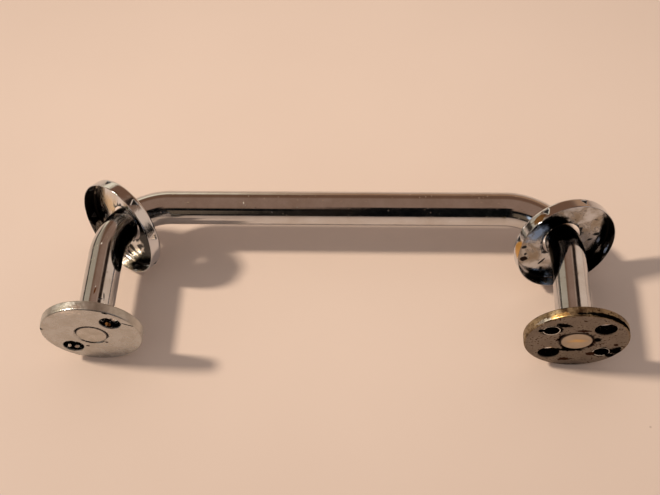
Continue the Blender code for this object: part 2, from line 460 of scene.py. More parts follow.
@dataclass(frozen=True)
class CupChrome(Finish):
    """Chromium plate on pressed brass sheet, bright outside and stained inside.

    To the eye: a mirror outside with dents blackened by painted shade; inside, tide lines,
    brown stains and painted dark reflections over the mirror.
    """

    marks: tuple[Mark, ...] = ()
    colour: str = "d0d2d6"
    stained: str = "b6a891"
    streak: tuple[float, float, float] = (1.0, 1.0, 1.0)
    amount: float = 0.5
    seed: float = 0.0
    unshaded_dent: tuple[float, float, float] = (0.0, 0.0, 0.0)
    sheet_r: float = 27.98 * MM
    sheet_z: float = 0.25 * MM

    def build(self) -> bpy.types.Material:
        """Builds the node material.

        Returns:
            The finished material.
        """
        material, tree, shader, place = self.start()
        moved = add(tree, "Mapping", {0: place, "Location": (self.seed,) * 3,
                                      "Scale": self.streak})
        # Stains run from 12 mm islands down to 1 mm specks.
        large = add(tree, "TexNoise", {"Vector": moved, "Scale": 85.0, "Detail": 8.0,
                                       "Roughness": 0.62, "Distortion": 0.6})
        fine = add(tree, "TexNoise", {"Vector": moved, "Scale": 420.0, "Detail": 5.0})
        _, radius, height = polar(tree, place)
        # The inner face is what lies within the middle of the sheet.
        inside = add(tree, "Math", {0: add(tree, "Math", {0: radius, 1: self.sheet_r},
                                           operation="LESS_THAN"),
                                    1: add(tree, "Math", {0: height, 1: self.sheet_z},
                                           operation="GREATER_THAN")}, operation="MULTIPLY")
        least = 0.5 - self.amount * 0.2
        stain = add(tree, "MapRange", {"Value": large, 1: least, 2: least + 0.22})
        stain = add(tree, "Math", {0: stain, 1: inside}, operation="MULTIPLY")
        base = add(tree, "MixRGB", {0: stain, 1: linear(self.colour), 2: linear(self.stained)})
        rough = add(tree, "MapRange", {"Value": large, 1: 0.35, 2: 0.7, 3: 0.05, 4: 0.12})
        rough = add(tree, "Math", {0: stain, 1: 0.12, 2: rough}, operation="MULTIPLY_ADD")
        coat = Coat(tree, base, rough)
        # Tide lines 0.3 mm wide where the stain noise crosses a level, at half strength.
        tide = add(tree, "ValToRGB", {0: large}, ((0.535, 0.0), (0.545, 0.5), (0.555, 0.0)))
        coat.lay(add(tree, "Math", {0: tide, 1: inside}, operation="MULTIPLY"), Tone.RUST)
        specks = add(tree, "MapRange", {"Value": fine, 1: 0.66, 2: 0.72})
        coat.lay(add(tree, "Math", {0: specks, 1: stain}, operation="MULTIPLY"), Tone.RUST)
        # Black laid round the hole: painted shade where the tube passes through.
        ring = add(tree, "Math", {0: fine, 1: -6 * MM, 2: radius}, operation="MULTIPLY_ADD")
        coat.lay(add(tree, "MapRange", {"Value": ring, 1: 9.4 * MM, 2: 8.6 * MM}), Tone.GRIME_AND_SHADE)
        wobble = add(tree, "TexNoise", {"Vector": place, "Scale": 260.0, "Detail": 5.0})
        for mark in self.marks:
            coat.mark(place, wobble, mark, inside)
        # Painted shade blackens the dents, but for one dent, which is painted light silver instead.
        dents = self.dent_mask(tree, place, radius, height)
        coat.lay(dents, Tone.GRIME_AND_SHADE)
        away = add(tree, "VectorMath", {0: place, 1: tuple(v * MM for v in self.unshaded_dent)},
                   operation="DISTANCE").outputs["Value"]
        near = add(tree, "MapRange", {"Value": away, 1: 5.0 * MM, 2: 4.0 * MM})
        coat.lay(add(tree, "Math", {0: dents, 1: near}, operation="MULTIPLY"), Tone.SILVER)
        bump = add(tree, "Bump", {"Height": large, "Strength": 0.08, "Distance": 1.5 * MM})
        coat.plug_in(shader, bump)
        return material

    def dent_mask(self, tree: Tree, place: Any, radius: Any, height: Any) -> Any:
        """One in the skirt's dents, which are wide at the foot and end in a point.

        Args:
            tree: the node tree.
            place: socket of the cover's own coordinates.
            radius: socket of the distance from the axis.
            height: socket of the height over the floor.

        Returns:
            The mask's node.
        """
        foot, tip, wall, edge = 2.2 * MM, 6.0 * MM, 26.6 * MM, 0.35 * MM
        parts = add(tree, "SeparateXYZ", {0: place})
        angle = add(tree, "Math", {0: parts.outputs[1], 1: parts.outputs[0]},
                    operation="ARCTAN2")
        angle = add(tree, "Math", {0: angle, 1: math.tau - math.radians(Cover.first_dent)})
        off = add(tree, "Math", {0: angle, 1: math.pi / Cover.dents}, operation="PINGPONG")
        off = add(tree, "Math", {0: off, 1: radius}, operation="MULTIPLY")
        half = add(tree, "MapRange", {"Value": height, 1: tip, 2: foot, 4: Cover.dent_half})
        room = add(tree, "Math", {0: half, 1: off}, operation="SUBTRACT")
        mask = add(tree, "MapRange", {"Value": room, 2: edge})
        low = add(tree, "MapRange", {"Value": height, 1: foot - 0.1 * MM, 2: foot + 0.3 * MM})
        mask = add(tree, "Math", {0: mask, 1: low}, operation="MULTIPLY")
        skirt = add(tree, "MapRange", {"Value": radius, 1: wall, 2: wall + 0.3 * MM})
        return add(tree, "Math", {0: mask, 1: skirt}, operation="MULTIPLY")


@dataclass(frozen=True)
class PlateSteel(Finish):
    """Turned and plated steel flange, dulled by the wall or rusted through its plating.

    To the eye: a dull, slightly wavy metal face with black bores, partly painted shade,
    and painted highlights on the rim and in the holes; where rusted, brown-grey with black
    blotches round the rim, the holes and the plug.
    """

    wear: Wear = Wear.DULL
    bores: tuple[tuple[float, float, float], ...] = ()
    marks: tuple[Mark, ...] = ()
    bare: str = "c3c3c1"
    worn: str = "afaca6"
    rim: str = "bfbcb6"
    flaked: str = "aaa69e"
    rim_from: float = 25.9 * MM
    rim_full: float = 26.6 * MM

    def build(self) -> bpy.types.Material:
        """Builds the node material.

        Returns:
            The finished material.
        """
        material, tree, shader, place = self.start()
        corroded = self.wear is Wear.CORRODED
        cloud = add(tree, "TexNoise", {"Vector": place, "Scale": 110.0, "Detail": 7.0,
                                       "Roughness": 0.62})
        grit = add(tree, "TexNoise", {"Vector": place, "Scale": 900.0, "Detail": 4.0})
        across, radius, height = polar(tree, place)
        on_rim = add(tree, "MapRange", {"Value": radius, 1: self.rim_from, 2: self.rim_full})
        base = add(tree, "ValToRGB", {0: cloud}, ((0.32, self.worn), (0.62, self.bare)))
        rim = add(tree, "ValToRGB", {0: cloud}, ((0.38, self.flaked), (0.56, self.rim)))
        base = add(tree, "MixRGB", {0: on_rim, 1: base, 2: rim})
        low, high, more = (0.36, 0.58, 0.04) if corroded else (0.2, 0.34, 0.12)
        rough = add(tree, "MapRange", {"Value": cloud, 1: 0.3, 2: 0.7, 3: low, 4: high})
        rough = add(tree, "Math", {0: on_rim, 1: more, 2: rough}, operation="MULTIPLY_ADD")
        coat = Coat(tree, base, rough)
        if corroded:
            # Speckles of about 0.5 mm, thicker where the plate stayed damp.
            speckle = add(tree, "Math", {0: cloud, 1: 0.5, 2: grit}, operation="MULTIPLY_ADD")
            coat.lay(add(tree, "MapRange", {"Value": speckle, 1: 0.84, 2: 0.92}), Tone.RUST)
            # Rust, then black, round the plug.
            ring = add(tree, "Math", {0: cloud, 1: -16 * MM, 2: radius},
                       operation="MULTIPLY_ADD")
            for outer, inner, tone in ((1.9, 1.0, Tone.RUST), (1.2, 0.5, Tone.GRIME_AND_SHADE)):
                coat.lay(add(tree, "MapRange", {"Value": ring, 1: outer * MM, 2: inner * MM}),
                         tone)
        # Hole walls blackened in patches: rust where the plate is corroded, and painted shade inside the bores.
        deep = add(tree, "MapRange", {"Value": height, 1: -0.3 * MM, 2: -0.7 * MM})
        patchy = add(tree, "MapRange", {"Value": grit, 1: 0.72, 2: 0.6})
        for x, y, bore in self.bores:
            away = add(tree, "VectorMath", {0: across, 1: (x, y, 0.0)},
                       operation="DISTANCE").outputs["Value"]
            if corroded and bore < WallFlange.large_r:
                self.small_hole(coat, cloud, away, bore)
            wall = add(tree, "MapRange", {"Value": away, 1: bore + 0.6 * MM,
                                          2: bore + 0.4 * MM})
            wall = add(tree, "Math", {0: wall, 1: deep}, operation="MULTIPLY")
            wall = add(tree, "Math", {0: wall, 1: patchy}, operation="MULTIPLY")
            coat.lay(wall, Tone.GRIME_AND_SHADE)
        wobble = add(tree, "TexNoise", {"Vector": place, "Scale": 380.0, "Detail": 6.0,
                                        "Roughness": 0.7})
        for mark in self.marks:
            coat.mark(place, wobble, mark)
        bump = add(tree, "Bump", {"Height": grit, "Strength": 0.35 if corroded else 0.08,
                                  "Distance": 0.12 * MM})
        bump = add(tree, "Bump", {"Height": cloud, "Strength": 0.25 if corroded else 0.1,
                                  "Distance": 0.5 * MM, "Normal": bump})
        # Pits about 1 mm wide on the rim, where the plating has lifted.
        pits = add(tree, "TexNoise", {"Vector": place, "Scale": 600.0, "Detail": 2.0})
        pits = add(tree, "Math", {0: pits, 1: on_rim}, operation="MULTIPLY")
        bump = add(tree, "Bump", {"Height": pits, "Strength": 0.6, "Distance": 0.25 * MM,
                                  "Normal": bump})
        coat.plug_in(shader, bump)
        shader.inputs["Specular IOR Level"].default_value = 0.0
        return material

    def small_hole(self, coat: Coat, cloud: Any, away: Any, bore: float) -> None:
        """Blackens the plate round a small hole and brightens the hole's lip.

        Args:
            coat: the plate's coat.
            cloud: the plate's broad noise.
            away: socket of the distance from the hole's centre.
            bore: the hole's radius.
        """
        tree = coat.tree
        stain = add(tree, "Math", {0: cloud, 1: 9 * MM, 2: away}, operation="MULTIPLY_ADD")
        coat.lay(add(tree, "MapRange", {"Value": stain, 1: bore + 6.2 * MM,
                                        2: bore + 5.4 * MM}), Tone.GRIME_AND_SHADE)
        lip = add(tree, "MapRange", {"Value": away, 1: bore + 0.3 * MM, 2: bore + 0.42 * MM})
        end = add(tree, "MapRange", {"Value": away, 1: bore + 0.78 * MM, 2: bore + 0.64 * MM})
        coat.lay(add(tree, "Math", {0: lip, 1: end}, operation="MULTIPLY"), Tone.SILVER)


@dataclass(frozen=True)
class TurnedEnd(Finish):
    """End of a turned steel plug, rubbed bright.

    To the eye: fine rings from the lathe, a soft gleam across them that on the right plug
    is a painted golden highlight, a dirty edge.
    """

    colour: str = "c4c1bb"
    worn: str = "aba69d"
    roughness: float = 0.22
    sheen: float = 0.0
    dirt_from: float = 7.55 * MM
    dirt_full: float = 8.1 * MM

    def build(self) -> bpy.types.Material:
        """Builds the node material.

        Returns:
            The finished material.
        """
        material, tree, shader, place = self.start()
        cloud = add(tree, "TexNoise", {"Vector": place, "Scale": 180.0, "Detail": 6.0})
        # Tool rings 0.35 mm apart.
        rings = add(tree, "TexWave", {"Vector": place, "Scale": 142.0, "Distortion": 0.3},
                    wave_type="RINGS", rings_direction="Z").outputs["Fac"]
        _, radius, _ = polar(tree, place)
        base = add(tree, "ValToRGB", {0: cloud}, ((0.3, self.worn), (0.62, self.colour)))
        rough = add(tree, "MapRange", {"Value": cloud, 3: self.roughness - 0.05,
                                       4: self.roughness + 0.12})
        coat = Coat(tree, base, rough)
        coat.lay(add(tree, "MapRange", {"Value": radius, 1: self.dirt_from,
                                        2: self.dirt_full, 4: 0.8}), Tone.RUST)
        if self.sheen:
            # Painted golden highlight across the middle of the end face.
            gleam = Mark((0.3, 0.2, 0.0), (3.4, 1.3, 1.0), Tone.GOLD_HIGHLIGHT, soft=1.8)
            coat.mark(place, cloud, gleam)
        bump = add(tree, "Bump", {"Height": rings, "Strength": 0.06, "Distance": 0.05 * MM})
        coat.plug_in(shader, bump)
        shader.inputs["Anisotropic"].default_value = self.sheen
        return material


@dataclass(frozen=True)
class SatinTable(Finish):
    """Lacquered pale table top.

    To the eye: a plain warm cream surface with a soft sheen, faint smudges and specks.
    """

    colour: str = "e6cdbb"
    smudged: str = "e3cab8"
    dust: str = "9c8370"

    def build(self) -> bpy.types.Material:
        """Builds the node material.

        Returns:
            The finished material.
        """
        material, tree, shader, place = self.start()
        cloud = add(tree, "TexNoise", {"Vector": place, "Scale": 6.0, "Detail": 5.0})
        base = add(tree, "ValToRGB", {0: cloud}, ((0.3, self.smudged), (0.7, self.colour)))
        # Crumbs and dust 0.4 mm wide, some 40 mm apart.
        cells = add(tree, "TexVoronoi", {"Vector": place, "Scale": 26.0})
        specks = add(tree, "ValToRGB", {0: cells}, ((0.0, 0.5), (0.012, 0.35), (0.02, 0.0)))
        base = add(tree, "MixRGB", {0: specks, 1: base, 2: linear(self.dust)})
        rough = add(tree, "MapRange", {"Value": cloud, 1: 0.3, 2: 0.7, 3: 0.32, 4: 0.4})
        link(tree, base, shader.inputs["Base Color"])
        link(tree, rough, shader.inputs["Roughness"])
        shader.inputs["IOR"].default_value = 1.45
        return material


# ---- pieces ----------------------------------------------------------------------

def finish_piece(obj: bpy.types.Object, material: bpy.types.Material, body: str, node: str) -> bpy.types.Object:
    """Gives a piece its material and its body, and hides the solid it stands for.

    Args:
        obj: the piece, in place.
        material: its finish.
        body: the body it moves with.
        node: the solid that it replaces.

    Returns:
        The piece.
    """
    obj.data.materials.append(material)
    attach(obj, body)
    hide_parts(node)
    LOG.info("%s: %d faces, rides on %s", obj.name, len(obj.data.polygons), body)
    return obj


@dataclass
class Rail:
    """The bent tube: bar, two bends and two legs."""

    layout: Layout
    wall: float = 1.0 * MM
    seat: float = 0.3 * MM
    bore_shown: float = 4.0 * MM
    ring: int = 96
    bend_steps: int = 48
    finish: BentChrome = field(default_factory=lambda: BentChrome(
        "chrome_plate_bent_polished", marks=rail_marks()))

    def path(self) -> list[Point]:
        """Centre line of the rail from the left leg's end to the right leg's end.

        Returns:
            Level positions along it.
        """
        lay = self.layout
        half = [(lay.leg_x, lay.wall_y + lay.flange_t + self.seat)]
        for i in range(self.bend_steps + 1):
            a = math.pi / 2 * i / self.bend_steps
            half.append((lay.bend_x + lay.bend_r * math.cos(a),
                         lay.bend_y + lay.bend_r * math.sin(a)))
        return [(-x, y) for x, y in half] + half[::-1]

    def build(self) -> bpy.types.Object:
        """Builds the tube's skin and the first part of its bore.

        Returns:
            The skin, in place.
        """
        lay = self.layout
        points = [Vector((x, y, lay.axis_z)) for x, y in self.path()]
        rings: list[tuple[Vector, Vector, float]] = []
        for i, point in enumerate(points):
            before, after = points[max(i - 1, 0)], points[min(i + 1, len(points) - 1)]
            rings.append((point, (after - before).normalized(), lay.tube_r))
        # The bore starts inside each end and is closed a little way in.
        inner, deep = lay.tube_r - self.wall, self.bore_shown
        (first, way_in, _), (last, way_out, _) = rings[0], rings[-1]
        rings = ([(first + way_in * deep, way_in, inner), (first, way_in, inner)] + rings
                 + [(last, way_out, inner), (last - way_out * deep, way_out, inner)])
        verts, faces = [], []
        for point, along, radius in rings:
            side = along.cross(Vector((0, 0, 1)))
            for s in range(self.ring):
                a = math.tau * s / self.ring
                verts.append(point + side * (radius * math.cos(a))
                             + Vector((0, 0, radius * math.sin(a))))
        for k in range(len(rings) - 1):
            for s in range(self.ring):
                t = (s + 1) % self.ring
                faces.append((k * self.ring + s, k * self.ring + t,
                              (k + 1) * self.ring + t, (k + 1) * self.ring + s))
        faces.append(tuple(range(self.ring)))
        faces.append(tuple(range((len(rings) - 1) * self.ring, len(rings) * self.ring)))
        obj = mesh_object("rail_skin", verts, faces)
        keep_flats(obj)
        return finish_piece(obj, self.finish.build(), "rail", "rail_tube")


@dataclass
class WallFlange:
    """A round plate that is screwed to the wall, with its screw holes."""

    layout: Layout
    side: int
    name: str
    slot: str
    finish: PlateSteel
    large_at: tuple[float, ...] = (45.0, 225.0)
    small_at: tuple[float, ...] = ()
    bore_r: float = 8.525 * MM
    wall_edge: float = 0.9 * MM
    room_edge: float = 0.8 * MM
    bore_edge: float = 0.9 * MM
    hole_circle: float = 18.1 * MM
    large_r: float = 5.65 * MM
    small_r: float = 3.7 * MM
    steps: int = 192

    def profile(self) -> list[Point]:
        """The plate's section; nought is the wall face.

        Returns:
            Profile points, all the way round.
        """
        r, t = self.layout.flange_r, self.layout.flange_t
        points = [(self.bore_r, -self.bore_edge), (self.bore_r + self.bore_edge, 0.0)]
        points += corner(r - self.wall_edge, -self.wall_edge, self.wall_edge, 90, 0)
        points += corner(r - self.room_edge, self.room_edge - t, self.room_edge, 0, -90)
        return points + [(self.bore_r, -t)]

    def hole(self, angle: float, radius: float, chamfer: float) -> bpy.types.Object:
        """A cutter for one hole with a broken edge.

        Args:
            angle: place round the plate in degrees.
            radius: the hole's radius.
            chamfer: width of the broken edge.

        Returns:
            The cutter.
        """
        t = self.layout.flange_t
        a = math.radians(angle)
        profile = [(0.0, MM), (radius + chamfer + MM, MM), (radius + chamfer, 0.0)]
        profile += corner(radius + chamfer, -chamfer, chamfer, 90, 180, 5)
        profile += [(radius, -t - MM), (0.0, -t - MM)]
        verts, faces = lathe(profile, 64, False)
        x, y = self.hole_circle * math.cos(a), self.hole_circle * math.sin(a)
        return mesh_object("hole", [(vx + x, vy + y, vz) for vx, vy, vz in verts], faces)

    def build(self) -> bpy.types.Object:
        """Builds the plate and cuts its holes.

        Returns:
            The plate, in place.
        """
        verts, faces = lathe(self.profile(), self.steps, True)
        obj = mesh_object(self.name, verts, faces)
        cutters = [self.hole(a, self.large_r, 0.3 * MM) for a in self.large_at]
        cutters += [self.hole(a, self.small_r, 0.6 * MM) for a in self.small_at]
        for cutter in cutters:
            step = obj.modifiers.new("hole", "BOOLEAN")
            step.object, step.operation, step.solver = cutter, "DIFFERENCE", "EXACT"
        bpy.context.view_layer.update()
        ready = obj.evaluated_get(bpy.context.evaluated_depsgraph_get())
        mesh = bpy.data.meshes.new_from_object(ready)
        obj.modifiers.clear()
        obj.data = mesh
        mesh.set_sharp_from_angle(angle=math.radians(35))
        for cutter in cutters:
            bpy.data.objects.remove(cutter, do_unlink=True)
        obj.matrix_world = self.layout.wall_frame(self.side)
        keep_flats(obj)
        node = "wall_flange_left" if self.side < 0 else "wall_flange_right"
        return finish_piece(obj, self.finish.build(), "rail", node)


@dataclass
class EndPlug:
    """The turned plug in the middle of a flange, flush with its wall face."""

    layout: Layout
    side: int
    name: str
    slot: str
    finish: TurnedEnd
    radius: float = 8.225 * MM
    length: float = 17.6 * MM
    edge: float = 0.5 * MM
    dish: float = 0.12 * MM

    def build(self) -> bpy.types.Object:
        """Builds the plug, with its end face dished a little by the tool.

        Returns:
            The plug, in place.
        """
        r, c = self.radius, self.edge
        face = [((r - c) * i / 10, -self.dish * (1 - (i / 10) ** 2)) for i in range(11)]
        profile = face + corner(r - c, -c, c, 90, 0, 6)[1:]
        profile += [(r, -self.length + c), (r - c, -self.length), (0.0, -self.length)]
        verts, faces = lathe(profile, 128, False)
        obj = mesh_object(self.name, verts, faces)
        obj.matrix_world = self.layout.wall_frame(self.side)
        node = "end_plug_left" if self.side < 0 else "end_plug_right"
        return finish_piece(obj, self.finish.build(), "rail", node)


@dataclass
class Cover:
    """A pressed cap that hangs loose on a bend: floor, rounded corner, skirt, dents."""

    layout: Layout
    side: int
    name: str
    slot: str
    finish: CupChrome
    along: float
    turn: float
    lift: float
    outside: float = 0.0
    above: float = 0.0
    first_dent: float = 22.5
    sheet: float = 0.5 * MM
    depth: float = 7.7 * MM
    corner_r: float = 2.0 * MM
    flange_gap: float = 0.75 * MM
    hole_play: float = 1.3 * MM
    dents: int = 8
    dent_deep: float = 0.8 * MM
    dent_half: float = 2.3 * MM
    dent_side: float = 0.9 * MM
    steps: int = 384

    @property
    def radius(self) -> float:
        """Outer radius of the skirt."""
        return self.layout.flange_r + self.flange_gap + self.sheet

    def profile(self) -> list[Point]:
        """The sheet's section; nought is the outside of the floor.

        Returns:
            Profile points, all the way round.
        """
        rim, r = self.sheet / 2, self.radius
        hole = self.layout.tube_r + self.hole_play
        heights = np.linspace(self.depth - rim, self.corner_r, 15)
        points = corner(r - rim, self.depth - rim, rim, 180, 0, 6)[:-1]
        points += [(r, float(z)) for z in heights[:-1]]
        points += corner(r - self.corner_r, self.corner_r, self.corner_r, 0, -90)
        points += [(hole + rim / 2, 0.0), (hole, rim / 2), (hole, self.sheet - rim / 2),
                   (hole + rim / 2, self.sheet)]
        points += corner(r - self.corner_r, self.corner_r, self.corner_r - self.sheet, -90, 0)
        return points + [(r - self.sheet, float(z)) for z in heights[::-1][1:-1]]

    def dented(self, x: float, y: float, z: float) -> tuple[float, float, float]:
        """Moves a point of the skirt in where a dent was pressed.

        Args:
            x, y, z: the point in the cover's own frame.

        Returns:
            The moved point.
        """
        r = math.hypot(x, y)
        if r < self.radius - 2 * self.sheet or z < self.corner_r * 0.8:
            return x, y, z
        pitch = 360.0 / self.dents
        a = math.degrees(math.atan2(y, x)) - self.first_dent
        off = math.radians((a + pitch / 2) % pitch - pitch / 2) * r
        # A dent runs from a quarter to three quarters of the way up, and narrows upward.
        up = (z - self.depth * 0.28) / (self.depth * 0.5)
        half = self.dent_half * max(1.0 - up, 0.0)
        if not 0.0 <= up <= 1.0 or abs(off) >= half:
            return x, y, z
        slope = min(1.0, (half - abs(off)) / self.dent_side)
        push = self.dent_deep * slope * min(1.0, up * 6)
        return x * (1 - push / r), y * (1 - push / r), z

    def frame(self) -> Matrix:
        """Where the cover hangs: Z out of the open side, X level.

        Returns:
            The matrix of the cover's own frame.
        """
        lay = self.layout
        along, turn, lift = (math.radians(a) for a in (self.along, self.turn, self.lift))
        radius = lay.bend_r + self.outside
        centre = Vector((self.side * (lay.bend_x + radius * math.cos(along)),
                         lay.bend_y + radius * math.sin(along), lay.axis_z + self.above))
        out = Vector((self.side * math.sin(turn) * math.cos(lift),
                      -math.cos(turn) * math.cos(lift), math.sin(lift)))
        up = (Vector((0, 0, 1)) - out * out.z).normalized()
        return Matrix.Translation(centre) @ Matrix((up.cross(out), up, out)).transposed().to_4x4()

    def build(self) -> bpy.types.Object:
        """Builds the cover and hangs it on its bend.

        Returns:
            The cover, in place.
        """
        verts, faces = lathe(self.profile(), self.steps, True)
        obj = mesh_object(self.name, [self.dented(*v) for v in verts], faces)
        obj.matrix_world = self.frame()
        keep_flats(obj)
        node, body = (("cover_left", "left_cover") if self.side < 0
                      else ("cover_right", "right_cover"))
        return finish_piece(obj, self.finish.build(), body, node)


# ---- studio ----------------------------------------------------------------------

@dataclass(frozen=True)
class Glow:
    """A soft patch of the room round the table, as the chrome sees it."""

    azimuth: float
    half_width: float
    low: float
    high: float
    colour: tuple[float, float, float]
    soft: float = 8.0


@dataclass
class Studio:
    """Pale table, warm lamp at the left, a dim warm room and the camera."""

    layout: Layout
    lamp_from: Vector = field(default_factory=lambda: Vector((-1.0, 0.12, 1.0)))
    lamp_distance: float = 3.2
    lamp_radius: float = 0.17
    lamp_power: float = 2.65
    lamp_aim: Vector = field(default_factory=lambda: Vector((0.06, 0.09, 0.0)))
    lamp_spread: float = 31.0
    lamp_colour: tuple[float, float, float] = (1.0, 0.90, 0.77)
    fill: tuple[float, float, float] = (0.41, 0.385, 0.38)
    dim: tuple[float, float, float] = (0.24, 0.14, 0.09)
    camera_at: Vector = field(default_factory=lambda: Vector((0.03165, -0.30216, 0.50891)))
    camera_aim: Vector = field(default_factory=lambda: Vector((-0.00448, 0.02778, 0.0)))
    camera_roll: float = -4.77
    lens: float = 56.81
    table_half: float = 3.0

    def table(self) -> None:
        """Lays the table top under the rail."""
        half, z = self.table_half, self.layout.low.z
        obj = mesh_object("table_top", [(-half, -half, z), (half, -half, z), (half, half, z),
                                        (-half, half, z)], [(0, 1, 2, 3)])
        obj.data.materials.append(SatinTable("lacquer_satin_sprayed").build())

    def lamp(self) -> None:
        """Hangs the lamp at the upper left."""
        light = bpy.data.lights.new("lamp", "AREA")
        light.shape = "DISK"
        light.size = self.lamp_radius * 2
        light.energy = self.lamp_power
        light.color = self.lamp_colour
        light.spread = math.radians(self.lamp_spread)
        obj = bpy.data.objects.new("lamp", light)
        away = self.lamp_from.normalized()
        obj.location = away * self.lamp_distance
        obj.rotation_euler = (obj.location - self.lamp_aim).to_track_quat("Z", "Y").to_euler()
        bpy.context.scene.collection.objects.link(obj)

    def glows(self) -> list[Glow]:
        """The room's soft patches; a later one covers an earlier one.

        Returns:
            The patches in order.
        """
        return [
            Glow(0, 42, -2, 18, (0.46, 0.26, 0.15), 8),
            Glow(-42, 34, 2, 19, (1.05, 0.90, 0.66), 6),
            Glow(0, 50, 22, 48, (0.20, 0.10, 0.058), 8),
            Glow(0, 180, 52, 95, (0.33, 0.20, 0.14), 14),
            Glow(-80, 36, 10, 42, (0.50, 0.41, 0.30), 5),
            Glow(-80, 36, -6, 9, (0.05, 0.035, 0.025), 3),
            Glow(38, 10, 40, 57, (0.025, 0.015, 0.01), 3),
            Glow(20, 4, 50, 62, (0.42, 0.29, 0.21), 2),
            Glow(76, 30, -4, 43, (0.80, 0.60, 0.46), 4),
            Glow(218, 34, -5, 49, (0.003, 0.003, 0.003), 3),
            Glow(221, 31, 8, 33, (0.17, 0.12, 0.08), 4),
            Glow(141, 45, -5, 62, (0.002, 0.002, 0.002), 4),
            Glow(223, 4, 22, 38, (0.75, 0.88, 1.05), 4),
            Glow(112, 6, 18, 40, (0.30, 0.42, 0.62), 4),
        ]

    def room(self) -> None:
        """Lights the room by direction: dim brown with its soft patches."""
        world = bpy.data.worlds.new("room")
        bpy.context.scene.world = world
        world.use_nodes = True
        tree = world.node_tree
        tree.nodes.clear()
        way = add(tree, "TexCoord").outputs["Generated"]
        parts = add(tree, "SeparateXYZ", {0: way}).outputs
        height = add(tree, "Math", {0: parts[2]}, operation="ARCSINE")
        level = add(tree, "CombineXYZ", {0: parts[0], 1: parts[1]})
        level = add(tree, "VectorMath", {0: level}, operation="NORMALIZE")
        colour: Any = (*self.dim, 1.0)
        for glow in self.glows():
            mask = self.glow_mask(tree, glow, level, height)
            colour = add(tree, "MixRGB", {0: mask, 1: colour, 2: (*glow.colour, 1.0)})
        mirrored = add(tree, "LightPath").outputs["Is Glossy Ray"]
        colour = add(tree, "MixRGB", {0: mirrored, 1: (*self.fill, 1.0), 2: colour})
        back = add(tree, "Background", {0: colour, 1: 1.0})
        add(tree, "OutputWorld", {0: back})

    def glow_mask(self, tree: Tree, glow: Glow, level: Any, height: Any) -> Any:
        """One inside a glow's bounds, falling softly to nought outside.

        Args:
            tree: the node tree.
            glow: the patch.
            level: node of the level direction.
            height: node of the height angle in radians.

        Returns:
            The mask's node.
        """
        rad, half = math.radians, glow.soft / 2
        edges = [(height, rad(glow.low - half), rad(glow.low + half)),
                 (height, rad(glow.high + half), rad(glow.high - half))]
        if glow.half_width < 180:
            a = rad(glow.azimuth)
            facing = add(tree, "VectorMath", {0: level, 1: (math.sin(a), math.cos(a), 0.0)},
                         operation="DOT_PRODUCT").outputs["Value"]
            edges.append((facing, math.cos(rad(min(180, glow.half_width + glow.soft))),
                          math.cos(rad(max(0, glow.half_width - glow.soft)))))
        mask: Any = 1.0
        for source, nought, one in edges:
            edge = add(tree, "MapRange", {"Value": source, 1: nought, 2: one},
                       interpolation_type="SMOOTHSTEP")
            mask = add(tree, "Math", {0: mask, 1: edge}, operation="MULTIPLY")
        return mask

    def camera(self) -> None:
        """Sets the camera over the wall side of the rail."""
        data = bpy.data.cameras.new("camera")
        data.sensor_width = 36.0
        data.lens = self.lens
        obj = bpy.data.objects.new("camera", data)
        look = (self.camera_aim - self.camera_at).to_track_quat("-Z", "Y").to_matrix().to_4x4()
        roll = Matrix.Rotation(math.radians(self.camera_roll), 4, "Z")
        obj.matrix_world = Matrix.Translation(self.camera_at) @ look @ roll
        bpy.context.scene.collection.objects.link(obj)
        bpy.context.scene.camera = obj

    def build(self) -> None:
        """Builds the table, the lamp, the room and the camera."""
        self.table()
        self.lamp()
        self.room()
        self.camera()
        bpy.context.scene.view_settings.view_transform = "Standard"
        LOG.info("studio ready")


def rail_marks() -> tuple[Mark, ...]:
    """Painted dark reflections where the tube runs into the covers, and scuffs at the left flange."""
    return (
        # The first four patches are painted dark reflections of the covers' dark insides.
        Mark((-115.5, 10.0, 30.0), (4.6, 15.0, 6.0), Tone.DARK_REFLECTION, ragged=0.06, soft=0.15),
        Mark((-121.0, 28.5, 36.0), (3.8, 3.0, 3.0), Tone.DARK_REFLECTION, ragged=0.15),
        Mark((124.0, 15.5, 36.0), (9.8, 5.4, 4.6), Tone.DARK_REFLECTION, ragged=0.08, soft=0.15),
        Mark((119.3, 5.0, 31.0), (3.4, 13.0, 7.0), Tone.DARK_REFLECTION, ragged=0.1, soft=0.15),
        Mark((-123.0, -29.0, 35.5), (1.2, 0.35, 1.2), turn=20, ragged=0.15),
        Mark((-121.6, -26.8, 34.6), (0.3, 2.2, 1.4), turn=8, ragged=0.2),
        Mark((-126.5, -24.0, 36.4), (0.4, 2.6, 1.4), Tone.BROWN, turn=-6, ragged=0.3),
    )


def left_plate_marks() -> tuple[Mark, ...]:
    """Nicks, scratches and grime of the left flange, with painted highlights in its holes and on its rim."""
    return (
        Mark((-25.9, 5.9, 0.0), (1.2, 0.8, 1.0), ragged=0.1),
        Mark((21.8, 11.6, 0.0), (3.4, 0.45, 0.6), turn=-30, ragged=0.12),
        Mark((12.3, 23.3, 0.0), (1.6, 0.5, 0.6), turn=-28, ragged=0.15),
        Mark((-4.8, -12.4, 0.0), (1.1, 0.7, 0.5), Tone.RUST),
        Mark((6.5, -7.9, 0.0), (0.8, 0.6, 0.5), Tone.RUST),
        # Painted highlight on the lower wall of the upper right hole.
        Mark((13.2, 7.2, -5.2), (1.5, 0.6, 0.7), Tone.SILVER, ragged=0.1),
        Mark((10.6, 7.8, -2.2), (1.8, 0.9, 1.0), Tone.BROWN),
        # Painted highlights in the lower left hole.
        Mark((-16.5, -17.0, -2.4), (1.0, 0.9, 1.0), Tone.SILVER, ragged=0.15),
        Mark((-12.6, -18.4, -2.6), (1.4, 0.6, 0.8), Tone.SILVER, ragged=0.15),
        # Painted glint of the lamp on the rim's upper left.
        Mark((-8.0, 25.5, -1.6), (9.5, 4.5, 1.7), Tone.SILVER, soft=0.6),
    )


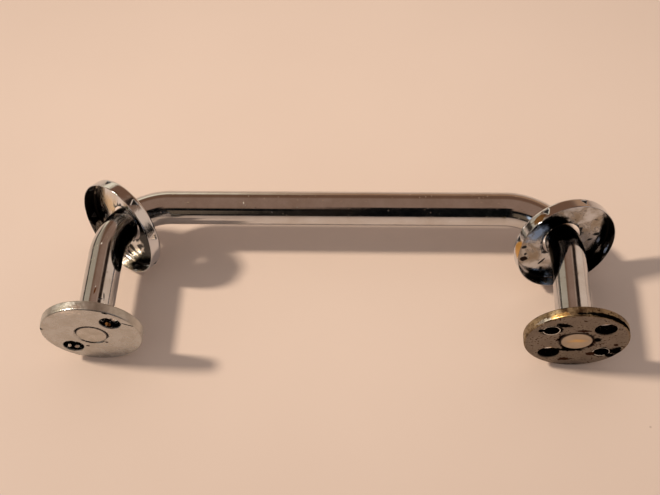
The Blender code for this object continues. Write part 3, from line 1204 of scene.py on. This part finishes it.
def right_plate_marks() -> tuple[Mark, ...]:
    """Rust, black blotches and bare flakes of the right flange, with painted golden highlights."""
    return (
        Mark((-8.6, 16.8, 0.0), (4.2, 1.9, 0.8), turn=-12),
        Mark((-19.2, 11.0, 0.0), (1.8, 1.4, 0.8)),
        Mark((21.4, -9.5, 0.0), (3.4, 3.8, 0.8)),
        Mark((19.0, -14.8, 0.0), (2.6, 2.2, 0.8)),
        Mark((9.2, -13.5, 0.0), (2.4, 1.8, 0.8), Tone.RUST),
        Mark((9.8, 1.8, 0.0), (2.4, 2.2, 0.8)),
        Mark((-3.0, -9.0, 0.0), (7.5, 1.7, 0.8)),
        Mark((2.2, 11.2, 0.0), (3.6, 1.0, 0.8), Tone.RUST),
        Mark((20.7, -3.3, 0.0), (1.2, 1.0, 0.8), Tone.RUST),
        Mark((1.3, 21.4, 0.0), (0.9, 0.8, 0.8), Tone.RUST),
        Mark((-4.0, -19.5, 0.0), (3.0, 1.6, 0.8), Tone.RUST, ragged=0.6),
        Mark((0.0, -26.6, -0.3), (16.0, 1.2, 0.7), ragged=0.35),
        Mark((14.0, 20.0, -1.4), (18.0, 18.0, 1.2), ragged=0.14, soft=0.1),
        Mark((-19.0, 18.5, -1.2), (5.0, 6.0, 0.9), Tone.SILVER, turn=-40, ragged=0.3, soft=0.1),
        # Painted golden highlights: the lamp's glint on the rim's upper left, and light on the upper walls of
        # the two large holes.
        Mark((-12.0, 24.0, -1.6), (5.0, 5.0, 1.2), Tone.GOLD_HIGHLIGHT, ragged=0.3, soft=0.1),
        Mark((12.8, 18.3, -1.4), (4.2, 1.4, 1.3), Tone.GOLD_HIGHLIGHT),
        Mark((-11.6, -7.4, -1.2), (3.0, 1.4, 1.2), Tone.GOLD_HIGHLIGHT),
    )


def left_cover_marks() -> tuple[Mark, ...]:
    """Painted dark reflections and stains of the left cover."""
    return (
        Mark((-14.5, 4.5, 0.5), (5.5, 6.5, 1.2), Tone.STRAW, soft=1.0),
        # The black glossy patches are painted dark reflections inside the cup.
        Mark((-27.0, -4.0, 3.8), (4.6, 21.0, 4.8), Tone.DARK_REFLECTION, ragged=0.15),
        Mark((-24.0, -9.0, 0.5), (3.4, 10.0, 1.0), Tone.DARK_REFLECTION, turn=25),
        Mark((-17.0, -8.5, 0.5), (2.6, 1.1, 1.0), turn=-55),
        Mark((-17.5, 0.0, 0.5), (3.2, 0.6, 1.0), turn=-55, ragged=0.2),
        Mark((16.0, 4.0, 0.5), (9.5, 14.0, 1.6), Tone.DARK_REFLECTION, ragged=0.12),
        Mark((21.0, 16.0, 4.0), (7.0, 9.0, 4.2), Tone.DARK_REFLECTION, ragged=0.12),
        Mark((4.0, -17.5, 0.5), (4.8, 1.6, 1.0), Tone.DARK_REFLECTION, turn=-35),
        Mark((9.5, -19.5, 0.5), (4.6, 1.8, 1.0), Tone.DARK_REFLECTION, turn=15, ragged=0.4),
        Mark((10.5, -11.0, 0.5), (2.6, 2.4, 1.0), Tone.DARK_REFLECTION, ragged=0.7),
        Mark((-1.5, -21.0, 0.5), (1.4, 3.0, 1.0), Tone.DARK_REFLECTION, turn=-30, ragged=0.4),
        Mark((26.0, 4.0, 4.2), (7.0, 23.0, 3.9), Tone.DARK_REFLECTION, ragged=0.1),
        Mark((20.0, -14.0, 0.8), (5.5, 9.0, 2.4), Tone.DARK_REFLECTION, ragged=0.25),
        Mark((15.5, -17.5, 0.8), (3.6, 7.0, 2.0), Tone.DARK_REFLECTION, ragged=0.15),
        Mark((11.5, -24.0, 2.4), (7.0, 4.6, 4.4), Tone.DARK_REFLECTION, ragged=0.1),
        Mark((4.0, -24.0, 0.8), (5.6, 1.4, 1.6), Tone.DARK_REFLECTION, turn=-12),
        Mark((-1.0, -16.0, 0.5), (2.4, 0.9, 1.2), Tone.BROWN, turn=-30),
    )


def right_cover_marks() -> tuple[Mark, ...]:
    """Painted dark and bluish reflections, a painted highlight, stains and black specks of the right cover."""
    return (
        # The black glossy patches are painted dark reflections inside the cup.
        Mark((-5.0, 12.5, 0.5), (8.5, 4.8, 1.5), Tone.DARK_REFLECTION, ragged=0.12),
        Mark((26.0, -5.0, 4.0), (4.4, 21.0, 4.8), Tone.DARK_REFLECTION, ragged=0.1),
        Mark((18.0, -21.0, 4.0), (9.5, 9.0, 5.0), Tone.DARK_REFLECTION, ragged=0.12),
        Mark((-15.0, -23.0, 2.4), (11.0, 6.5, 2.8), Tone.DARK_REFLECTION, ragged=0.15),
        # Painted bluish reflections on the floor and on the inner skirt.
        Mark((-14.0, 8.6, 0.5), (5.4, 3.8, 1.0), Tone.BLUE_REFLECTION, turn=35, soft=1.0),
        Mark((25.2, -12.0, 5.2), (1.8, 4.4, 0.9), Tone.BLUE_REFLECTION, soft=0.5),
        Mark((21.0, -3.4, 0.5), (1.9, 1.2, 0.8)),
        Mark((16.7, -6.0, 0.5), (1.7, 0.7, 0.8), ragged=0.2),
        Mark((-21.6, 1.0, 0.5), (1.4, 1.0, 0.8), ragged=0.2),
        Mark((-21.0, -4.6, 0.5), (0.8, 0.9, 0.8), ragged=0.2),
        Mark((-10.9, -13.0, 0.5), (2.6, 0.7, 0.8), turn=40, ragged=0.2),
        Mark((-22.0, -8.0, 0.5), (2.0, 1.6, 0.8), Tone.RUST),
        # Painted highlight on the outer edge of the hole.
        Mark((10.9, 2.0, 0.2), (0.5, 5.0, 0.6), Tone.SILVER, ragged=0.1, inner=False),
        Mark((-27.6, 7.0, 6.0), (3.0, 7.0, 3.0), Tone.AMBER, ragged=0.1, inner=False),
        Mark((-16.0, 23.3, 5.0), (4.5, 3.8, 2.0), Tone.BROWN, inner=False),
    )


def bores(large: tuple[float, ...], small: tuple[float, ...]
          ) -> tuple[tuple[float, float, float], ...]:
    """Centres and radii of a flange's holes.

    Args:
        large: places of the large holes in degrees.
        small: places of the small holes in degrees.

    Returns:
        x, y and radius of each hole.
    """
    circle = WallFlange.hole_circle
    return tuple((circle * math.cos(math.radians(a)), circle * math.sin(math.radians(a)), r)
                 for angles, r in ((large, WallFlange.large_r), (small, WallFlange.small_r))
                 for a in angles)


def main() -> None:
    """Builds every piece in order."""
    logging.basicConfig(level=logging.INFO, format="%(name)s: %(message)s")
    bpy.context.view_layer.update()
    layout = Layout.read()
    large, small = (45.0, 225.0), (142.0, 322.0)
    Rail(layout).build()
    WallFlange(layout, -1, "flange_left_plate", "left_plate",
               PlateSteel("steel_plate_plated_dull", bores=bores(large, ()),
                          marks=left_plate_marks())).build()
    WallFlange(layout, 1, "flange_right_plate", "right_plate",
               PlateSteel("steel_plate_plated_corroded", Wear.CORRODED, bores(large, small),
                          right_plate_marks(), bare="8d8276", worn="6a5f54", rim="a08c6e",
                          flaked="4c3a29"),
               small_at=small).build()
    EndPlug(layout, -1, "plug_left_end", "left_turned",
            TurnedEnd("steel_turned_left")).build()
    EndPlug(layout, 1, "plug_right_end", "right_turned",
            TurnedEnd("steel_turned_right", "b8a996", "a69684", roughness=0.3,
                      sheen=0.6)).build()
    Cover(layout, -1, "cover_left_cap", "left_chrome",
          CupChrome("chrome_plate_pressed_left", left_cover_marks(), streak=(1.6, 0.45, 1.0),
                    seed=0.31, unshaded_dent=(25.4, 10.5, 3.8)),
          along=42.7, turn=39.1, lift=13.1, outside=-0.1 * MM, above=0.1 * MM).build()
    Cover(layout, 1, "cover_right_cap", "right_chrome",
          CupChrome("chrome_plate_pressed_right", right_cover_marks(), stained="a2988a",
                    seed=0.77),
          along=25.1, turn=17.4, lift=14.1, outside=0.3 * MM).build()
    Studio(layout).build()


if __name__ == "__main__":
    main()
